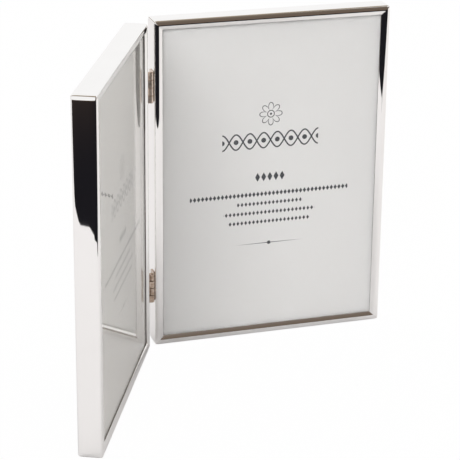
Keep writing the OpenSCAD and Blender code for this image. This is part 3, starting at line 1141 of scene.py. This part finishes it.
button_low, button_high = box_in(LEAF["right"] @ button_axes("outer"), "button_outer_right")
button_size = button_high - button_low
for side in SIDES:
    for place in TURNS:
        parts = button_parts(button_size.x, button_size.y, BUTTON_T, button_size.z)
        button = leaf_mesh(f"stamped_button_{place}_{side}", LEAF[side] @ button_axes(place), *parts)
        rounded_edges(button, BUTTON_EDGE_R, steps=2)
        dressed(button, f"{place}_button_{side}", "button_steel", nickelled_steel, f"button_{place}_{side}")
print("Buttons: 8, size in mm:", [round(x / MM, 2) for x in button_size])

# %% [markdown]
# ## Rivets
#
# Rivets repeat, so a geometry tree makes them. Its input is a mesh of bare points, one for each rivet. The
# head is a low cylinder whose top is pushed up by a rule on its radius, which gives a dome that falls
# steeply at the rim. The same tree makes the buttons' rivets and the small rivets of the hinges.

# %% Rivet tree
RIVET_SIDES = 32
DOME_RINGS = 8
RIM_SHARE = 0.3
GROWN_SHARP_ANGLE = math.radians(38)


def geometry_tree(name, sizes):
    """An empty geometry tree with a geometry, named sizes and a material as its inputs."""
    tree = bpy.data.node_groups.new(name, "GeometryNodeTree")
    tree.interface.new_socket("Places", in_out="INPUT", socket_type="NodeSocketGeometry")
    for size in sizes:
        tree.interface.new_socket(size, in_out="INPUT", socket_type="NodeSocketFloat")
    tree.interface.new_socket("Finish", in_out="INPUT", socket_type="NodeSocketMaterial")
    tree.interface.new_socket("Pieces", in_out="OUTPUT", socket_type="NodeSocketGeometry")
    nodes = Nodes(tree)
    given = tree.nodes.new("NodeGroupInput")
    return nodes, {socket.name: Value(nodes, socket) for socket in given.outputs if socket.name}


def close_tree(nodes, pieces, finish):
    """Ends a tree: real geometry, with its material."""
    real = nodes.add("GeometryNodeRealizeInstances", sockets={"Geometry": pieces})
    painted = nodes.add("GeometryNodeSetMaterial", sockets={"Geometry": real, "Material": finish})
    nodes.add("NodeGroupOutput", sockets={"Pieces": painted})
    return nodes.tree


def rivet_tree():
    nodes, given = geometry_tree("rivets", ("Head Radius", "Head Height", "Shank Radius", "Shank Depth"))
    rim = given["Head Height"] * RIM_SHARE
    head = nodes.add("GeometryNodeMeshCylinder", {"fill_type": "TRIANGLE_FAN"}, {
        "Vertices": RIVET_SIDES, "Fill Segments": DOME_RINGS, "Radius": given["Head Radius"], "Depth": rim})
    x, y, z = nodes.split(nodes.add("GeometryNodeInputPosition"))
    share = (x * x + y * y) ** 0.5 / given["Head Radius"]
    dome = (1 - share * share).larger(0.0) ** 0.5 * (given["Head Height"] - rim)
    offset = nodes.add("ShaderNodeCombineXYZ", sockets={"Z": dome * (z > 0.0) + rim / 2})
    head = nodes.add("GeometryNodeSetPosition", sockets={"Geometry": head, "Offset": offset})
    shank = nodes.add("GeometryNodeMeshCylinder", sockets={
        "Vertices": RIVET_SIDES, "Radius": given["Shank Radius"], "Depth": given["Shank Depth"]})
    below = nodes.add("ShaderNodeCombineXYZ", sockets={"Z": given["Shank Depth"] * -0.5})
    shank = nodes.add("GeometryNodeSetPosition", sockets={"Geometry": shank, "Offset": below})
    rivet = nodes.add("GeometryNodeJoinGeometry", sockets={"Geometry": [head, shank]})
    pieces = nodes.add("GeometryNodeInstanceOnPoints", sockets={
        "Points": given["Places"], "Instance": rivet})
    return close_tree(nodes, pieces, given["Finish"])


def grown(name, tree, matrix, points, edges, settings):
    """Runs a geometry tree on points and edges and carries the plain mesh that it makes to its place."""
    seeds = bpy.data.meshes.new(name)
    seeds.from_pydata(points, edges, [])
    holder = placed(name, seeds)
    modifier = holder.modifiers.new(name, "NODES")
    modifier.node_group = tree
    for item in tree.interface.items_tree:
        if item.in_out == "INPUT" and item.name in settings:
            modifier[item.identifier] = settings[item.name]
    made_plain(holder)
    holder.data.transform(matrix)
    if matrix.to_3x3().determinant() < 0:
        holder.data.flip_normals()
    holder.data.shade_smooth()
    holder.data.set_sharp_from_angle(angle=GROWN_SHARP_ANGLE)
    return holder


rivets = rivet_tree()
print("Rivet tree nodes:", len(rivets.nodes))

# %% Button rivets
BUTTON_STAND = 1.0 * MM
rivet_low, rivet_high = leaf_box("button_rivets_right")
button_head_d = cover_high.y + BUTTON_STAND
BUTTON_RIVET = {
    "Head Radius": 1.9 * MM,
    "Head Height": rivet_high.y - button_head_d,
    "Shank Radius": 1.0 * MM,
    "Shank Depth": button_head_d - rivet_low.y,
    "Finish": nickelled_steel,
}
bench = Matrix(((1, 0, 0, 0), (0, 0, 1, button_head_d), (0, -1, 0, 0), (0, 0, 0, 1)))
spots = [button_axes(place).translation for place in TURNS]
on_bench = [(spot.x, -spot.z, 0) for spot in spots]
for side in SIDES:
    domed = grown(f"domed_rivets_{side}", rivets, LEAF[side] @ bench, on_bench, [], BUTTON_RIVET)
    dressed(domed, f"{side}_leaf", "rivet_steel", nickelled_steel, f"button_rivets_{side}")
print("Button rivets:", len(domed.data.polygons), "faces in each leaf")

# %% [markdown]
# ## Hinges
#
# Each hinge is cut from thin sheet: a plate is riveted to the side wall of each leaf, and two tongues of
# each plate are rolled round the pin, in turn with those of the other leaf. Seen from above a tongue is a
# path: it leaves the plate, bends towards the pin and goes round it. A geometry tree sweeps the sheet
# along that path and sets the tongues in their places up the pin.
#
# The metal is nickel that has browned in places, so it looks warm beside the silver. Its colour also grows
# darker and browner towards the bottom, so the lower hinge is darker than the upper one.

# %% Hinge metal
DARKER_FROM_HEIGHT = 140 * MM
DARKEST_BELOW_HEIGHT = 50 * MM
NICKEL_GRAIN = 0.006 * MM
NICKEL_GRAIN_SCALES = (2600.0, 2600.0, 500.0)


@material
def browned_nickel(nodes):
    place = nodes.object_place()
    _, _, height = nodes.split(place)
    # Darker and browner towards the bottom, by height alone
    lower = nodes.rise(height, DARKER_FROM_HEIGHT, DARKEST_BELOW_HEIGHT)
    stain = nodes.noise(place, scale=800.0, detail=4.0)
    clear = nodes.rise(stain - lower * 0.2, 0.22, 0.62)
    grain = nodes.streaks(place, NICKEL_GRAIN_SCALES, detail=3.0)
    return nodes.principled({
        "Base Color": nodes.mix(clear, rgb(0.38, 0.28, 0.21), rgb(0.76, 0.65, 0.56)),
        "Metallic": 1.0,
        "Roughness": stain * 0.16 + grain * 0.08 + 0.1,
        "Normal": nodes.bump(grain * NICKEL_GRAIN),
    })


print("Finish:", browned_nickel.name)

# %% Hinge tongues
PLATE_T = 0.6 * MM
TONGUE_OVERLAP = 1.0 * MM
TONGUE_STEPS = 28
ROLL_GAP_ANGLE = 40
KNUCKLES = 4
KNUCKLE_R = 1.45 * MM
KNUCKLE_GAP = 0.3 * MM
NOTCH_GAP = 0.2 * MM
pin_in_leaf = -leaf_origin.xy


def tongue_path():
    """Middle line of a tongue from above: along the plate, towards the pin and round it."""
    middle_r = KNUCKLE_R - PLATE_T / 2
    to_wall = -pin_in_leaf.x
    notch = math.sqrt((KNUCKLE_R + NOTCH_GAP) ** 2 - (to_wall - PLATE_T) ** 2)
    bend = Vector((-PLATE_T / 2, pin_in_leaf.y + notch))
    from_pin = bend - pin_in_leaf
    touch = math.degrees(math.atan2(from_pin.y, from_pin.x) - math.acos(middle_r / from_pin.length))
    rolled = arc(pin_in_leaf, middle_r, touch, ROLL_GAP_ANGLE - 360, TONGUE_STEPS)
    return [(bend.x, bend.y + TONGUE_OVERLAP), tuple(bend)] + rolled


def tongue_tree():
    nodes, given = geometry_tree("tongues", ("Sheet", "Tongue Height", "First Height", "Step"))
    path = nodes.add("GeometryNodeMeshToCurve", sockets={"Mesh": given["Places"]})
    sheet = nodes.add("GeometryNodeCurvePrimitiveQuadrilateral", sockets={
        "Width": given["Sheet"], "Height": given["Tongue Height"]})
    tongue = nodes.add("GeometryNodeCurveToMesh", sockets={
        "Curve": path, "Profile Curve": sheet, "Fill Caps": True})
    start = nodes.add("ShaderNodeCombineXYZ", sockets={"Z": given["First Height"]})
    step = nodes.add("ShaderNodeCombineXYZ", sockets={"Z": given["Step"] * -1.0})
    places = nodes.add("GeometryNodeMeshLine", sockets={
        "Count": KNUCKLES // 2, "Start Location": start, "Offset": step})
    pieces = nodes.add("GeometryNodeInstanceOnPoints", sockets={"Points": places, "Instance": tongue})
    return close_tree(nodes, pieces, given["Finish"])


tongues = tongue_tree()
path = tongue_path()
print("Points on a tongue's path:", len(path))

# %% Hinge plates
PLATE_CORNER_R = 1.2 * MM
PLATE_EDGE_R = 0.12 * MM
TONGUE_EDGE_R = 0.24 * MM


def hinge_plate(name, matrix, low, high, front):
    """A plate on the side wall, rounded at its back corners, from its low and high corners."""
    radius = PLATE_CORNER_R
    points = [(front, low.z), (high.y - radius, low.z)]
    for z, start in ((low.z + radius, -90), (high.z - radius, 0)):
        points += arc((high.y - radius, z), radius, start, start + 90, CORNER_STEPS)[1:]
    points.append((front, high.z))
    turned = Matrix(((0, 1, 0, 0), (1, 0, 0, 0), (0, 0, 1, 0), (0, 0, 0, 1)))
    return prism(name, matrix @ turned, points, -PLATE_T, 0.0)


along_path = [(i, i + 1) for i in range(len(path) - 1)]
for side in SIDES:
    for place in ("upper", "lower"):
        low, high = leaf_box(f"hinge_{place}_plate_right")
        step = (high.z - low.z + KNUCKLE_GAP) / KNUCKLES
        tall = step - KNUCKLE_GAP
        first = high.z - tall / 2 - (step if side == "left" else 0)
        plate = hinge_plate(f"rolled_hinge_{place}_{side}", LEAF[side], low, high, path[1][1])
        rounded_edges(plate, PLATE_EDGE_R, steps=2)
        rolled = grown("tongues", tongues, LEAF[side], [(x, y, 0) for x, y in path], along_path, {
            "Sheet": PLATE_T, "Tongue Height": tall, "First Height": first, "Step": 2 * step,
            "Finish": browned_nickel})
        rounded_edges(rolled, TONGUE_EDGE_R, steps=3)
        take_in(plate, rolled)
        dressed(plate, f"{side}_leaf", "hinge_metal", browned_nickel, f"hinge_{place}_plate_{side}")
print("Hinges: 4 plates with", KNUCKLES // 2, "tongues each, faces:", len(plate.data.polygons))

# %% Hinge rivets
RIVET_HEIGHT_SHARES = (0.25, 0.75)
riveted_low, riveted_high = leaf_box("hinge_rivets_right")
HINGE_RIVET = {
    "Head Radius": 1.25 * MM,
    "Head Height": 0.18 * MM,
    "Shank Radius": 0.7 * MM,
    "Shank Depth": riveted_high.x + PLATE_T,
    "Finish": nickelled_steel,
}
hinge_boxes = [leaf_box(f"hinge_{place}_plate_right") for place in ("upper", "lower")]
rivet_back = (riveted_low.y + riveted_high.y) / 2
heights = [low.z + (high.z - low.z) * share for low, high in hinge_boxes for share in RIVET_HEIGHT_SHARES]
outward = Matrix(((0, 0, -1, -PLATE_T), (-1, 0, 0, 0), (0, 1, 0, 0), (0, 0, 0, 1)))
for side in SIDES:
    sunk = grown(f"hinge_rivet_heads_{side}", rivets, LEAF[side] @ outward,
                 [(-rivet_back, z, 0) for z in heights], [], HINGE_RIVET)
    dressed(sunk, f"{side}_leaf", "rivet_steel", nickelled_steel, f"hinge_rivets_{side}")
print("Hinge rivets at heights in mm:", [round(z / MM, 2) for z in heights])

# %% [markdown]
# ## Hinge pins
#
# A pin is a plain wire whose ends are hammered into small domes, so that it can't fall out. It is turned:
# one line from the axis out and back, carried round a full turn, with the poles closed to a single point.

# %% Pins
PIN_R = 0.65 * MM
PEEN_R = 1.0 * MM
PEEN_H = 0.35 * MM
PEEN_STEPS = 6
PIN_SIDES = 32
PIN_SHARP_ANGLE = math.radians(50)


def spun(name, matrix, line, count):
    """A closed solid of revolution about Z from points (radius, height). It starts and ends on the axis."""
    points = [(0, 0, line[0][1])]
    for radius, height in line[1:-1]:
        points += [(x, y, height) for x, y in arc((0, 0), radius, 0, 360 - 360 / count, count - 1)]
    points.append((0, 0, line[-1][1]))
    rings = len(line) - 2
    faces = []
    for i in range(count):
        j = (i + 1) % count
        faces.append([0, 1 + i, 1 + j])
        for ring in range(rings - 1):
            near, far = 1 + ring * count, 1 + (ring + 1) * count
            faces.append([near + i, far + i, far + j, near + j])
        last = 1 + (rings - 1) * count
        faces.append([last + i, len(points) - 1, last + j])
    made = leaf_mesh(name, matrix, points, faces)
    made.data.shade_smooth()
    made.data.set_sharp_from_angle(angle=PIN_SHARP_ANGLE)
    return made


def pin_line(low, high):
    """Radius and height from the top dome down to the bottom dome."""
    dome = [(PEEN_R * sine(turn), PEEN_H * cosine(turn)) for turn in spread(0, 90, PEEN_STEPS)]
    top = [(radius, high - PEEN_H + height) for radius, height in dome]
    bottom = [(radius, low + PEEN_H - height) for radius, height in reversed(dome)]
    return top + [(PIN_R, high - PEEN_H), (PIN_R, low + PEEN_H)] + bottom


for place in ("upper", "lower"):
    low, high = leaf_box(f"hinge_{place}_pin")
    pin_place = LEAF["right"] @ Matrix.Translation((pin_in_leaf.x, pin_in_leaf.y, 0))
    pin = spun(f"peened_pin_{place}", pin_place, pin_line(low.z, high.z), PIN_SIDES)
    dressed(pin, "right_leaf", "hinge_metal", browned_nickel, f"hinge_{place}_pin")
print("Pins: 2, length in mm:", round((high.z - low.z) / MM, 2))

# %% [markdown]
# ## The imported model's box
#
# The dressed frame may not outgrow the imported model, so the imported model's box is written down.

# %% Size of the imported model
print("CAD box in mm: ", [round(x / MM, 2) for corner in (cad_low, cad_high) for x in corner])
